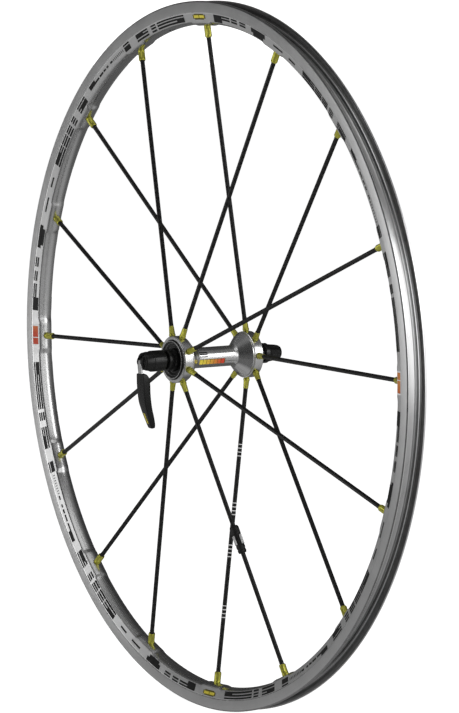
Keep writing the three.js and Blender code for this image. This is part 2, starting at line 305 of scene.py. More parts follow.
def turned_metal(name, dark, light, rough, fine=7000, around=3.0, strength=0.12, grain=0.0):
    """Bare or anodised aluminium with the fine rings that a lathe leaves. grain stretches its gloss
    across the rings."""
    look = Look(name, Metallic=1.0, Anisotropic=grain, Anisotropic_Rotation=0.25)
    if grain:
        around_y = look.add("Tangent", {"direction_type": "RADIAL", "axis": "Y"})
        look.feed(look.shader.inputs["Tangent"], around_y.outputs[0])
    marks = look.noise(look.rings(fine, around), 1.0, 4.0)
    clouds = look.noise(look.place, 60, 4.0)
    tone = look.math("ADD", look.math("MULTIPLY", marks, 0.6), look.math("MULTIPLY", clouds, 0.4))
    return look.finish(
        look.colours(tone, dark, light),
        look.spread(tone, rough - 0.05, rough + 0.06),
        marks, strength)


def anodised(name, base, edge, rough, metallic=0.0, gloss=0.5, fine=5000, around=4.0):
    """Coloured anodising: even, with faint turning marks and edges rubbed lighter."""
    look = Look(name, Metallic=metallic, Specular_IOR_Level=gloss)
    marks = look.noise(look.rings(fine, around), 1.0, 3.0)
    speck = look.noise(look.place, 2500, 2.0)
    under = look.colours(look.noise(look.place, 160, 3.0), [c * 0.82 for c in base], base)
    return look.finish(
        look.worn_edges(under, edge),
        look.spread(look.math("ADD", marks, look.math("MULTIPLY", speck, 0.2)), rough - 0.05, rough + 0.08),
        marks, 0.08)


def moulded(name, base, rough, scale=1800, strength=0.25):
    """Moulded plastic with a fine spark-eroded grain."""
    look = Look(name, Specular_IOR_Level=0.3)
    grain = look.noise(look.place, scale, 3.0)
    under = look.colours(look.noise(look.place, 120), [c * 0.75 for c in base], base)
    return look.finish(under, look.spread(grain, rough - 0.06, rough + 0.08), grain, strength, 0.00015)


def carbon():
    """Carbon tube: unidirectional fibre under a thin clear coat, with the turns of its outer wrap."""
    look = Look("carbon", Coat_Weight=0.10, Coat_Roughness=0.2, Specular_IOR_Level=0.2)
    fibre = look.noise(look.stretched(5200, 60, 5200), 1.0, 3.0)
    wrap = look.add("TexWave", {"wave_type": "BANDS", "bands_direction": "Y"},
                    Vector=look.place, Scale=55.0, Distortion=1.5, Detail=2.0).outputs[1]
    tone = look.math("ADD", look.math("MULTIPLY", fibre, 0.7), look.math("MULTIPLY", wrap, 0.3))
    return look.finish(
        look.colours(tone, grey(0.004), grey(0.012)),
        look.spread(tone, 0.3, 0.46),
        look.math("ADD", fibre, look.math("MULTIPLY", wrap, 0.5)), 0.18)


def vinyl(name, first, second, axis=(0, 1, 0), start=-0.02, end=0.02, rough=0.34):
    """Printed film: one ink fading into another along an axis, with orange peel and faint scuffs."""
    look = Look(name, Specular_IOR_Level=0.2)
    along = look.vector("DOT_PRODUCT", look.place, axis)
    fade = look.spread(along, 0.0, 1.0, start, end)
    scuff = look.noise(look.place, 700, 4.0)
    tone = look.math("ADD", fade, look.math("MULTIPLY", look.math("SUBTRACT", scuff, 0.5), 0.25))
    return look.finish(
        look.colours(tone, first, second, 0.0, 1.0),
        look.spread(scuff, rough - 0.06, rough + 0.1),
        look.noise(look.place, 2200), 0.08)


def nylon():
    look = Look("nylon", Subsurface_Weight=0.15)
    grain = look.noise(look.place, 900, 3.0)
    return look.finish(
        look.colours(grain, grey(0.62, 0.02), grey(0.74, 0.01)),
        look.spread(grain, 0.42, 0.58),
        grain, 0.2)


SILVER = turned_metal("hub_silver", grey(0.73), grey(0.80), 0.23, fine=4000, around=1.2, strength=0.008)
BED = turned_metal("rim_bed", grey(0.66), grey(0.72), 0.26, fine=1500, around=2.0, strength=0.006)
CHANNEL = turned_metal("tyre_channel", grey(0.80), grey(0.90), 0.31, fine=2500, around=3.0, strength=0.02)
TRACK = turned_metal("brake_track", grey(0.60), grey(0.72), 0.40,
                     fine=9000, around=6.0, strength=0.16, grain=0.75)
BAND = turned_metal("rim_band", grey(0.68), grey(0.75), 0.42,
                    fine=2600, around=6.0, strength=0.02, grain=0.6)
STEEL = turned_metal("steel", grey(0.50), grey(0.64), 0.24, strength=0.06)
OLIVE = anodised("olive_anodised", (0.48, 0.465, 0.065), (0.88, 0.87, 0.42), 0.28, metallic=0.7)
BLACK = anodised("black_anodised", grey(0.005), grey(0.06), 0.20, gloss=0.42)
PLASTIC = moulded("black_plastic", grey(0.008), 0.46)
LEVER_SKIN = moulded("lever_skin", grey(0.006), 0.26, scale=1500, strength=0.5)
NICKEL = turned_metal("magnet_nickel", grey(0.84), grey(0.92), 0.55, fine=2600, around=2.0, strength=0.03)
SATIN = turned_metal("lever_satin", grey(0.55), grey(0.66), 0.30, fine=3000, around=2.0, strength=0.03)
# Painted shade: a darker metal for the tyre hooks, ledges and outer chamfers, standing in for their shadow
# and dark reflection.
HOOK_PAINTED_SHADE = turned_metal("tyre_hook_painted_shade", grey(0.24), grey(0.44), 0.30, fine=5000, around=3.0, strength=0.06)
CARBON = carbon()
NYLON = nylon()
INK_BLACK = vinyl("ink_black", grey(0.004), grey(0.009))
INK_ORANGE = vinyl("ink_orange", (0.42, 0.05, 0.02), (0.50, 0.18, 0.04), (0, 0, 1), -0.006, 0.006)
INK_YELLOW = vinyl("ink_yellow", (0.50, 0.42, 0.04), (0.58, 0.50, 0.05))
INK_WHITE = vinyl("ink_white", grey(0.62), grey(0.72))
INK_OLIVE = vinyl("ink_olive", (0.06, 0.05, 0.006), (0.10, 0.09, 0.01))
INK_SUNSET = vinyl("ink_sunset", (0.62, 0.50, 0.05), (0.50, 0.04, 0.02), start=-0.015, end=0.004)


# The spokes' lines, read from the frame.
class Line:
    """The line of one spoke, from its flange to the rim bed."""

    def __init__(self, label):
        low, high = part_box(f"nipple_{label}")
        middle = (low + high) / 2
        self.label = label
        side = -1 if label.startswith("left") else 1
        self.angle = math.atan2(middle.z, middle.x)
        outward = Vector((math.cos(self.angle), 0, math.sin(self.angle)))
        self.hub = outward * FLANGE_R + Vector((0, side * HEAD_Y, 0))
        self.rim = outward * BED_R
        self.length = (self.rim - self.hub).length
        along = (self.rim - self.hub).normalized()
        self.turn = Vector((0, 1, 0)).rotation_difference(along).to_matrix().to_4x4()

    def place(self, start, turn=0.0):
        """The matrix, in metres, that stands a shape drawn along +Y on the line."""
        spin = Matrix.Rotation(turn, 4, "Y")
        return Matrix.Translation(start * MM) @ self.turn @ spin

    def drill(self, start, radius, y0, y1):
        shape = turned([(0, y0), (radius, y0), (radius, y1), (0, y1)], 24)
        return moved(shape, Matrix.Translation(start) @ self.turn)


LINES = [Line(f"{end}_{k}") for k in range(1, SPOKE_COUNT // 2 + 1) for end in ("right", "left")]
MAGNET_LINE = next(line for line in LINES if f"magnet_{line.label}" in frame["nodes"])


# Rim.
PAD_HALF = 12.0          # raised pad at each nipple, along the bed
PAD_EDGE = 5.0
SCALLOP = 1.25           # depth milled away between the pads
CROWN = 2.2
BED_EDGE_Y = 6.6
SEAT_R = RIM_R - 6       # where the tyre's bead sits
LEDGE_R = RIM_R - 8.2    # foot of the ledge beside the channel
HOOK_Y = 8.2             # furthest out under the hook
BAND_IN = (BED_R + 3.0, BED_EDGE_Y + 0.5)
BAND_OUT = (TRACK_IN_R - 1.2, RIM_HALF_W - 0.7)
SECTOR = 2 * math.pi / SPOKE_COUNT
VALVE_ANGLE = LINES[SPOKE_COUNT // 4].angle + SECTOR / 2
VALVE_HOLES = ((BED_R - 4, RIM_R - 12, 3.3), (RIM_R - 16, RIM_R + 2, 4.2))     # from, to, hole radius


def scallop_at(angle):
    off = (angle - LINES[0].angle + SECTOR / 2) % SECTOR - SECTOR / 2
    return SCALLOP * smooth_step((abs(off) * BED_R - PAD_HALF) / PAD_EDGE)


def rim_angles():
    """Angles round the rim, close together where the milled scallops start and end."""
    pad, edge = PAD_HALF / BED_R, (PAD_HALF + PAD_EDGE) / BED_R
    spans = [(-pad, pad, 8), (pad, edge, 6), (edge, SECTOR - edge, 24), (SECTOR - edge, SECTOR - pad, 6)]
    return [
        LINES[0].angle + k * SECTOR + start + (end - start) * n / steps
        for k in range(SPOKE_COUNT)
        for start, end, steps in spans
        for n in range(steps)
    ]


def rim_outline():
    """The rim's section as (radius, y), with the crowned bed drawn as a curve."""
    bed = [(BED_R - 0.1 + CROWN * (k / 8) ** 2, BED_EDGE_Y * k / 8) for k in range(-8, 9)]
    half = [
        (*BAND_IN, 0.6),
        (*BAND_OUT, 0.3),
        (TRACK_IN_R - 0.5, RIM_HALF_W - 0.5, 0.2),
        (TRACK_IN_R, RIM_HALF_W - 0.05, 0.2),
        (RIM_R - 1.3, RIM_HALF_W, 0.2),
        (RIM_R - 0.1, RIM_HALF_W - 0.8, 0.2),
        (RIM_R - 0.1, 7.8, 0.25),
        (RIM_R - 1.4, 7.5, 0.4),
        (RIM_R - 3.2, HOOK_Y, 0.5),
        (RIM_R - 5.8, HOOK_Y, 0.5),
        (SEAT_R, 6.9, 0),
        (SEAT_R - 0.2, 5.7, 0.5),
        (LEDGE_R, 4.8, 0),
        (RIM_R - 10.0, 3.9, 1.5),
    ]
    far = [(p[0], -p[1], *p[2:]) for p in half[::-1]]
    ring = [(*bed[-1], 0), *half, *far, (*bed[0], 0)]
    return bed + rounded(ring, steps=2)[1:-1]


def rim_hollow():
    """The section of the closed chamber between the bed and the tyre channel."""
    half = [
        (BED_R + 3.6, 4.8), (TRACK_IN_R - 0.6, RIM_HALF_W - 2), (RIM_R - 7.8, RIM_HALF_W - 1.7),
        (RIM_R - 7.8, 6.4), (RIM_R - 11.6, 3.6),
    ]
    return half + [(r, -y) for r, y in half[::-1]]


def rim_zone(polygon):
    """A face's finish: 0 bed, 1 side band, 2 brake track, 3 channel floor, bead seats and lips, and 4
    painted shade: a darker metal on the hooks, ledges and outer chamfers that stands in for their shadow
    and dark reflection."""
    x, y, z = polygon.center / MM
    radius = math.hypot(x, z)
    # Painted shade: the outer chamfers take the darker metal.
    if radius > RIM_R - 1.25 and abs(y) > RIM_HALF_W - 0.8 and abs(polygon.normal.y) < 0.95:
        return 4
    if abs(y) > RIM_HALF_W - 0.2 and radius > TRACK_IN_R - 0.3:
        return 2
    # Painted shade: the faces under the hooks and on the ledges beside the channel take the darker metal.
    hook = SEAT_R - 0.3 < radius < RIM_R - 0.6 and 6.9 < abs(y) < HOOK_Y + 0.1
    ledge = LEDGE_R < radius < SEAT_R - 0.1 and 4.8 < abs(y) < 5.8
    if hook or ledge:
        return 4
    if radius > TRACK_IN_R - 1 and abs(y) < RIM_HALF_W - 0.6:
        return 3
    sideways = abs(polygon.normal.y) > 0.8
    return 1 if sideways and BED_R + 0.9 < radius < TRACK_IN_R and abs(y) > BED_EDGE_Y else 0


def rim():
    """The shell with its scallops, hollowed, and drilled for the nipples and the valve."""
    def reshape(radius, y, angle):
        share = 1 - smooth_step((radius - BED_R - 0.8) / 4.5)
        return radius + scallop_at(angle) * share, y

    shell = turned(rim_outline(), reshape=reshape, angles=rim_angles())
    # The fifth finish is the darker metal of the painted shade.
    made = piece("rim_finished", shell, [BED, BAND, TRACK, CHANNEL, HOOK_PAINTED_SHADE], "wheel",
                 ["rim"])
    for polygon in made.data.polygons:
        polygon.material_index = rim_zone(polygon)
    carve(made, turned(rim_hollow(), SPOKE_COUNT * 12))
    carve(made, joined(*[line.drill(line.rim, NIPPLE_HOLE_R, -4, 5) for line in LINES]))
    outward = Matrix.Rotation(-VALVE_ANGLE, 4, "Y") @ Matrix.Rotation(-math.pi / 2, 4, "Z")
    for y0, y1, radius in VALVE_HOLES:
        hole = turned([(0, y0), (radius, y0), (radius, y1), (0, y1)], 32)
        carve(made, moved(hole, outward))


def band_point(side, angle, height, lift):
    """A point over the rim's side band: height runs 0 to 1 outwards, lift stands proud of it."""
    slope = Vector((BAND_OUT[0] - BAND_IN[0], BAND_OUT[1] - BAND_IN[1]))
    proud = Vector((-slope.y, slope.x)).normalized() * lift
    r, y = Vector(BAND_IN) + slope * height + proud
    return (r * math.cos(angle), side * y, r * math.sin(angle))


INK_DEPTH = 0.10         # how far a print reaches into and out of the band


def band_patch(side, start, end, low, high, lift=INK_DEPTH):
    """A thin printed patch on the side band between two angles, in degrees, and two heights."""
    steps = max(2, int(abs(end - start) * 1.5))
    angles = [math.radians(start + (end - start) * k / steps) for k in range(steps + 1)]
    corners = ((low, lift), (high, lift), (high, -INK_DEPTH), (low, -INK_DEPTH))
    return lofted([[band_point(side, angle, *corner) for corner in corners] for angle in angles])


# The inner, middle and outer stripe, as shares of the band's height.
STRIPES = ((0.14, 0.36), (0.49, 0.70), (0.81, 1.0))
# One quarter of the rim's print, in degrees from its first spoke. A run names its stripes and the
# spans that each is inked over; a block joins two stripes over one span.
STRIPE_RUNS = (
    ((0, 1, 2), ((4.8, 13.4), (14.0, 15.5), (16.7, 20.7), (41.3, 44.6), (46.3, 47.7))),
    ((0, 1, 2), ((48.4, 50.3), (50.6, 52.9), (53.1, 57.2))),
    ((1, 2), ((75.6, 77.4), (78.2, 80.0), (80.5, 83.0))),
    ((1,), ((29.8, 30.6), (31.5, 32.1), (32.5, 33.3), (33.6, 34.9), (35.3, 36.8))),
    ((1,), ((59.8, 61.8), (63.9, 66.8))),
    ((2,), ((23.2, 25.2),)),
)
BLOCKS = (
    (0, 1, 4.8, 7.1), (1, 2, 18.3, 20.7), (0, 1, 23.2, 25.2), (1, 2, 36.8, 39.0), (0, 1, 41.3, 43.7),
    (1, 2, 54.6, 57.2), (1, 2, 69.5, 73.8), (0, 1, 70.1, 73.2), (0, 2, 83.0, 85.4),
)
HATCHES = [25.8 + 0.5 * n for n in range(8)]     # fine lines across the middle stripe
HATCH_WIDTH = 0.12


def quarter_print(side, base):
    """The black stripes and blocks from one coloured badge to the next."""
    bars = [
        band_patch(side, base + start, base + end, *STRIPES[row])
        for rows, spans in STRIPE_RUNS
        for start, end in spans
        for row in rows
    ]
    for low, high, start, end in BLOCKS:
        bars.append(band_patch(side, base + start, base + end, STRIPES[low][0], STRIPES[high][1], 0.13))
    for start in HATCHES:
        bars.append(band_patch(side, base + start, base + start + HATCH_WIDTH, 0.42, 0.72))
    return joined(*bars)


def rim_prints():
    """Black bars along the band of both sides, and a coloured badge at every fourth spoke."""
    for end, side in ENDS:
        starts = [math.degrees(LINES[0].angle) + 90 * quarter for quarter in range(4)]
        bars = joined(*[quarter_print(side, base) for base in starts])
        piece(f"rim_bars_{end}", bars, INK_BLACK, "wheel")
        for label, base in (("front", starts[0]), ("rear", starts[2])):
            card = band_patch(side, base - 2.0, base + 1.8, 0.0, 1.0)
            badge = joined(band_patch(side, base - 1.75, base + 0.25, 0.08, 0.93, 0.16),
                           band_patch(side, base + 0.4, base + 1.55, 0.08, 0.93, 0.16))
            piece(f"rim_card_{end}_{label}", card, INK_WHITE, "wheel")
            piece(f"rim_badge_{end}_{label}", badge, INK_ORANGE, "wheel")
        for label, base in (("top", starts[1]), ("bottom", starts[3])):
            edge = joined(band_patch(side, base - 1.9, base + 1.9, 0.42, 0.86),
                          band_patch(side, base - 1.4, base + 1.4, 0.30, 0.96, 0.12))
            ink = joined(band_patch(side, base - 1.6, base - 0.1, 0.50, 0.80, 0.18),
                         band_patch(side, base + 0.1, base + 1.6, 0.50, 0.80, 0.18))
            piece(f"rim_tab_edge_{end}_{label}", edge, INK_OLIVE, "wheel")
            piece(f"rim_tab_{end}_{label}", ink, INK_YELLOW, "wheel")


# Spokes and nipples.
def faceted(sides, low, high, depth=1.0):
    """Reshapes a turned piece to flats between two heights."""
    def reshape(radius, y, angle):
        if not low <= y <= high:
            return radius, y
        off = (angle % (2 * math.pi / sides)) - math.pi / sides
        flat = radius * math.cos(math.pi / sides) / math.cos(off)
        return radius + (flat - radius) * depth, y
    return reshape


def fluted(count, low, high, depth):
    """Reshapes a turned piece with rounded flutes between two heights, fading out at both."""
    def reshape(radius, y, angle):
        fade = smooth_step((y - low) / 0.8) * smooth_step((high - y) / 0.8)
        return radius - depth * fade * (0.5 - 0.5 * math.cos(count * angle)) ** 0.7, y
    return reshape


def stepped(profile, step=0.5):
    """Adds points along the long edges of a closed profile, for reshaping to work on."""
    full = []
    for k, here in enumerate(profile):
        ahead = profile[(k + 1) % len(profile)]
        parts = max(1, int(math.dist(here, ahead) / step)) if here[0] > 0.1 and ahead[0] > 0.1 else 1
        full += [tuple(a + (b - a) * n / parts for a, b in zip(here, ahead)) for n in range(parts)]
    return full


def spokes():
    """Alloy head in the flange, carbon tube, and splined nipple in the rim."""
    length = LINES[0].length
    head_profile = rounded([
        (0, -3, 0), (2.5, -3), (2.5, 0.7, 0.1), (2.95, 1.0, 0.2), (2.95, 2.5, 0.2), (2.7, 2.9, 0.1),
        (2.35, 9.3, 0.1), (2.15, 9.9), (1.2, 9.9, 0.1), (1.2, -1, 0), (0, -1, 0),
    ])
    flats = faceted(sides=8, low=2.7, high=9.3, depth=0.8)
    head = mesh_of("spoke_head", turned(stepped(head_profile, 1.2), 64, flats), OLIVE)
    tube_profile = rounded([
        (0, 9.0, 0), (1.9, 9.0, 0), (1.9, 9.8, 0), (2.06, 9.9, 0.05), (2.06, 12.2, 0.1),
        (SPOKE_R, 12.6, 0.1), (SPOKE_R, length - 13.6, 0.1), (2.06, length - 13.2, 0.1),
        (2.06, length - 2.9, 0), (0, length - 2.9, 0),
    ])
    tube = mesh_of("spoke_tube", turned(stepped(tube_profile, 8), 28), CARBON)
    nipple_profile = rounded([
        (0, -2.6, 0), (NIPPLE_BORE_R, -2.6, 0), (NIPPLE_BORE_R, -NIPPLE_LENGTH, 0.1),
        (2.7, -NIPPLE_LENGTH, 0.2), (NIPPLE_R, 0.9 - NIPPLE_LENGTH, 0.2),
        (NIPPLE_R, 1.5 - NIPPLE_LENGTH, 0.1), (3.05, -2.2, 0.1), (NIPPLE_R, -2.0, 0.1),
        (NIPPLE_R, -0.3, 0.2), (2.7, 0.3, 0.1), (2.7, 3.2, 0), (0, 3.2, 0),
    ])
    flutes = fluted(count=10, low=1.4 - NIPPLE_LENGTH, high=-1.9, depth=0.3)
    nipple = mesh_of("spoke_nipple", turned(stepped(nipple_profile, 0.7), 80, flutes), OLIVE)
    for line in LINES:
        label, spin = line.label, line.angle
        place = line.place(line.hub, spin)
        piece(f"spoke_head_{label}", head, OLIVE, "wheel", [f"spoke_{label}"], place)
        piece(f"spoke_tube_{label}", tube, CARBON, "wheel", [f"spoke_{label}"], place)
        piece(f"nipple_body_{label}", nipple, OLIVE, "wheel", [f"nipple_{label}"],
              line.place(line.rim, spin))


TICK_STARTS = (60, 113, 151, 206)     # along the tube, from the flange
TICKS_EACH = 4
TICK_PITCH = 3.5
TICK_LENGTH = 0.7


def spoke_marks():
    """Four groups of thin white tick marks printed on one spoke's tube."""
    line = next(line for line in LINES if line.label == "right_7")
    low, high = SPOKE_R - 0.08, SPOKE_R + 0.06
    ticks = []
    for start in TICK_STARTS:
        for k in range(TICKS_EACH):
            y0 = start + TICK_PITCH * k
            y1 = y0 + TICK_LENGTH
            ticks.append(turned([(low, y0), (high, y0), (high, y1), (low, y1)], 28))
    piece("spoke_ticks_right_7", joined(*ticks), INK_WHITE, "wheel", place=line.place(line.hub))


# Sensor magnet. Its pieces' spans are radii from the axle.
CLIP_SPAN = (156.5, 165)
MAGNET_SPAN = (165.3, 173.7)
COLLAR_SPAN = (174, 181.5)
MAGNET_BORE_R = 2.12
CHEEK = 4.2              # half the channel's width
SPINE = 3.6              # from the spoke's middle to the channel's closed side


def sensor_magnet():
    """A clip, a channel-shaped magnet and a collar on one spoke's tube."""
    line = MAGNET_LINE
    label, bore = line.label, MAGNET_BORE_R
    outward = (line.rim - line.hub).normalized()

    def along(span):
        return [(radius - FLANGE_R) * line.length / (BED_R - FLANGE_R) for radius in span]

    open_way = Vector((-math.sin(line.angle), -0.6, 0.1))
    open_way = (open_way - outward * open_way.dot(outward)).normalized()
    local = line.turn.to_3x3().inverted() @ open_way
    across = local.cross(Vector((0, 1, 0)))
    frame_of_channel = Matrix((across, local, Vector((0, 1, 0)))).transposed().to_4x4()
    place = line.place(line.hub)

    start, stop = along(CLIP_SPAN)
    profile = rounded([
        (bore, start), (3.4, start, 0.4), (4.2, start + 1.6, 0.5), (4.2, stop - 0.8, 0.4), (3.8, stop, 0.2),
        (bore, stop),
    ])
    clip = piece(f"magnet_sleeve_{label}", turned(profile, 48), PLASTIC, "wheel",
                 [f"magnet_clip_{label}"], place)
    tab = [(-1.6, 3.0), (1.6, 3.0), (1.6, 5.0), (-1.6, 5.0)]
    rings = [[(x, y, z) for x, y in rounded(tab, 0.5)] for z in (start + 2.2, stop - 1.2)]
    carve(clip, moved(lofted(rings), frame_of_channel), "UNION")

    outline = rounded([
        (-CHEEK, 3, 0.5), (-CHEEK, -SPINE, 1.0), (CHEEK, -SPINE, 1.0), (CHEEK, 3, 0.5),
        (bore, 3, 0.2), (bore, -bore, 1.0), (-bore, -bore, 1.0), (-bore, 3, 0.2),
    ])
    start, stop = along(MAGNET_SPAN)
    spans = ((start, 0.9), (start + 0.4, 1.0), (stop - 0.4, 1.0), (stop, 0.9))
    rings = [[(x * k, y * k, z) for x, y in outline] for z, k in spans]
    piece(f"magnet_channel_{label}", moved(lofted(rings), frame_of_channel), NICKEL, "wheel",
          [f"magnet_{label}"], place)

    start, stop = along(COLLAR_SPAN)
    profile = rounded([
        (bore, start), (3.8, start, 0.3), (4.0, start + 1.2, 0.2), (4.0, start + 3.0, 0.2),
        (3.6, start + 3.4, 0.2), (3.6, stop - 2.8, 0.2), (4.0, stop - 2.4, 0.2), (3.4, stop, 0.6),
        (bore, stop),
    ])
    piece(f"magnet_ring_{label}", turned(profile, 48), PLASTIC, "wheel",
          [f"magnet_collar_{label}"], place)


# Hub. Its ends are drawn at +Y and turned round for -Y.
HUB_BORE_R = 7.5
BEARING_Y = 30
BEARING_HALF_W = 3
BEARING_BORE_R = 6
BEARING_R = 12
SEATING_R = BEARING_R + 0.2
SEATING_Y = 26.7
BALL_COUNT = 9
BALL_R = 1.35
BALL_CIRCLE_R = 9.0
GROOVE_TURNS = (-0.9, -0.45, 0, 0.45, 0.9)       # radians round the groove's section


def hub():
    """The shell: a waisted tube, two flanges drilled for the spokes' heads, and bearing seatings."""
    half = [
        (HUB_TUBE_R, 19.4, 8), (10.2, 21.8, 3), (19.9, 31.2, 0.8), (19.9, 31.9, 0.1), (19.5, 32.1, 0.1),
        (19.5, 32.4, 0.1), (FLANGE_R - 0.1, 32.7, 0.3), (FLANGE_R, 33.4, 0.3),
        (FLANGE_R, FLANGE_OUT_Y - 0.8, 0.4), (FLANGE_R - 0.7, FLANGE_OUT_Y, 0.3),
        (FLANGE_BORE_R + 0.4, FLANGE_OUT_Y, 0.2), (FLANGE_BORE_R, FLANGE_OUT_Y - 0.4, 0.1),
        (FLANGE_BORE_R, 33, 0.3), (SEATING_R, 33, 0.1), (SEATING_R, SEATING_Y, 0.1),
        (HUB_BORE_R, SEATING_Y, 0.3),
    ]
    outline = rounded(half + [(p[0], -p[1], *p[2:]) for p in half[::-1]], steps=4)
    made = piece("hub_shell_finished", turned(stepped(outline, 4), 144), SILVER, "wheel",
                 ["hub_shell"])
    carve(made, joined(*[line.drill(line.hub, HEAD_HOLE_R, -6, 3.4) for line in LINES]))


def tube_patch(start, end, y0, y1, lift=0.06):
    """A thin printed patch on the hub's tube, between two angles in degrees and two places along it."""
    angles = [math.radians(start + (end - start) * k / 10) for k in range(11)]
    low, high = HUB_TUBE_R - lift, HUB_TUBE_R + lift
    corners = ((high, y0), (high, y1), (low, y1), (low, y0))
    return lofted([[(r * math.cos(a), y, r * math.sin(a)) for r, y in corners] for a in angles])


def hub_prints():
    """Three short lines, and a strip of blocks that fades from yellow to red, on the hub's tube."""
    bars = [tube_patch(turn, turn + 6.5, -18.5, -10.0) for turn in (8, 20, 32)]
    piece("hub_lines", joined(*bars), INK_BLACK, "wheel")
    piece("hub_strip_edge", tube_patch(-36, -4, -19.2, 8.2), INK_OLIVE, "wheel")
    blocks = [tube_patch(-34, -6, -18.7 + 3.8 * n, -15.4 + 3.8 * n, 0.12) for n in range(7)]
    piece("hub_strip", joined(*blocks), INK_SUNSET, "wheel")


def ring_of(name, profile, look, body, node, side, segments=96):
    """A turned piece at one end, which replaces one node."""
    return piece(name, turned(profile, segments), look, body, [node], end_place(side))


def race(end, side, name, body, facing):
    """One race. facing is 1 for the inner, whose groove looks outwards, and -1 for the outer."""
    back = BEARING_BORE_R if facing > 0 else BEARING_R
    land = BALL_CIRCLE_R - facing * 1.6
    groove = [
        (BALL_CIRCLE_R - facing * 1.55 * math.cos(a), BEARING_Y + 1.3 * math.sin(a), 0)
        for a in GROOVE_TURNS
    ]
    low, high = BEARING_Y - BEARING_HALF_W, BEARING_Y + BEARING_HALF_W
    profile = rounded([
        (back, low), (land, low), (land, BEARING_Y - 1.1, 0), *groove, (land, BEARING_Y + 1.1, 0),
        (land, high), (back, high),
    ])
    ring_of(f"bearing_{name}_ring_{end}", profile, STEEL, body, f"bearing_{name}_race_{end}",
            side, 64)


def bearing(end, side):
    """Two grooved races, and the balls in their cage, which are one piece."""
    race(end, side, "inner", "axle", 1)
    race(end, side, "outer", "wheel", -1)
    half_turn = [math.pi * k / 12 for k in range(13)]
    sphere = turned([(BALL_R * math.sin(a), -BALL_R * math.cos(a)) for a in half_turn], 24)
    low, high = BALL_CIRCLE_R - 0.3, BALL_CIRCLE_R + 0.3
    y0, y1 = BEARING_Y - 0.9, BEARING_Y + 0.9
    cage = rounded([(low, y0), (high, y0), (high, y1), (low, y1)], 0.1)
    made = ring_of(f"bearing_balls_and_cage_{end}", cage, STEEL, f"bearing_balls_{end}",
                   f"bearing_balls_{end}", side, 54)
    turns = [Matrix.Rotation(2 * math.pi * k / BALL_COUNT, 4, "Y") for k in range(BALL_COUNT)]
    centre = Matrix.Translation((BALL_CIRCLE_R, BEARING_Y, 0))
    carve(made, joined(*[moved(sphere, turn @ centre) for turn in turns]), "UNION")


# Painted highlights on the dust cap: satin rings on its edges, from one radius to another, on the side of
# CAP_FACE_Y that shows.
CAP_PAINTED_HIGHLIGHT = ((16.35, 17.0), (14.35, 14.6), (11.95, 12.15))
CAP_FACE_Y = 40


def end_parts(end, side):
    """Retaining ring, dust cap, axle end cap and conical spring of one end."""
    ring = rounded([(13, 33.3), (17.2, 33.3), (17.2, 37.6), (13, 37.6)])
    ring_of(f"retaining_ring_{end}", ring, PLASTIC, "wheel",
            f"spoke_retaining_ring_{end}", side)
    cap = rounded([
        (9.9, 38.2), (17.2, 38.2, 0.1), (17.25, 42.3, 0.2), (16.9, 43.0, 0.3), (16.3, 43.0, 0.2),
        (15.9, 42.1, 0.2), (14.6, 41.9, 0.1), (14.4, 41.4, 0.1), (13.8, 41.4, 0.1), (13.6, 41.5, 0.1),
        (12.2, 40.6, 0.2), (12.0, 40.1, 0.1), (11.4, 40.1, 0.1), (11.2, 40.3, 0.1), (9.9, 39.9, 0.2),
    ])
    made = ring_of(f"dust_cap_finished_{end}", cap, [BLACK, SATIN], "wheel",
                   f"dust_cap_{end}", side, 128)
    # Painted highlight: the faces on those rings, on the side that shows, take the satin metal.
    for polygon in made.data.polygons:
        x, y, z = polygon.center / MM
        painted_highlight_ring = any(low < math.hypot(x, z) < high for low, high in CAP_PAINTED_HIGHLIGHT)
        polygon.material_index = int(y > CAP_FACE_Y and painted_highlight_ring)
    nose = rounded([
        (6, 33.4), (7.2, 33.4), (7.2, 37.2, 0.5), (9.5, 39.0, 0.3), (9.5, 43.4, 0.1), (9.2, 43.7, 0.1),
        (9.2, 44.5, 0.1), (9.5, 44.8, 0.1), (9.5, 49.5, 0.2), (9.1, 50, 0.2), (4.8, 50), (4.8, 44), (6, 44),
    ])
    ring_of(f"end_cap_finished_{end}", nose, BLACK, "axle", f"axle_end_cap_{end}", side)
    spring(end, side)


def spring(end, side):
    """A conical spring: a wire wound from the axle's end out to the recess in the head or nut."""
    wire, turns, steps, sides = 0.45, 2.5, 120, 12
    low, high = 54.95, 57.85
    rings = []
    for k in range(steps + 1):
        t = k / steps
        angle = 2 * math.pi * turns * t
        outward = Vector((math.cos(angle), 0, math.sin(angle)))
        centre = outward * (4.0 + 2.5 * t) + Vector((0, low + (high - low) * t, 0))
        ring = []
        for n in range(sides):
            a = 2 * math.pi * n / sides
            ring.append(centre + (outward * math.cos(a) + Vector((0, 1, 0)) * math.sin(a)) * wire)
        rings.append(ring)
    body = "skewer_head" if side < 0 else "nut_spring"
    piece(f"spring_coil_{end}", lofted(rings), STEEL, body, [f"conical_spring_{end}"],
          end_place(side))


def axle():
    """The hollow axle, stepped down at both ends."""
    half = [(5.7, 43.7, 0.2), (4.5, 43.9, 0.2), (4.5, 54.2, 0.4), (2.9, 54.2, 0.2)]
    outline = rounded(half + [(p[0], -p[1], p[2]) for p in half[::-1]])
    piece("axle_finished", turned(outline, 64), SILVER, "axle", ["axle"])


# Skewer.
ROD_R = 2.5
EYE_R = 3.6
EYE_HALF_W = 1.6
PIN_Y = -72.1
PIN_R = 1.45
PIN_BORE_R = 1.75
PIN_HALF = 3.6
HEAD_R = 9.4
SLOT_HALF_W = 3.9
CAM_R = 5.6
CAM_Y = -71.2
CAM_IN_X = 1.9
ACROSS_X = Matrix.Rotation(-math.pi / 2, 4, "Z")


def disc_across_x(radius, x0, x1, y, fillet=0.3):
    """A disc on an axis along X that crosses the wheel's axle at y."""
    profile = rounded([(0, x0, 0), (radius, x0, fillet), (radius, x1, fillet), (0, x1, 0)])
    return moved(turned(profile, 64), Matrix.Translation((0, y, 0)) @ ACROSS_X)


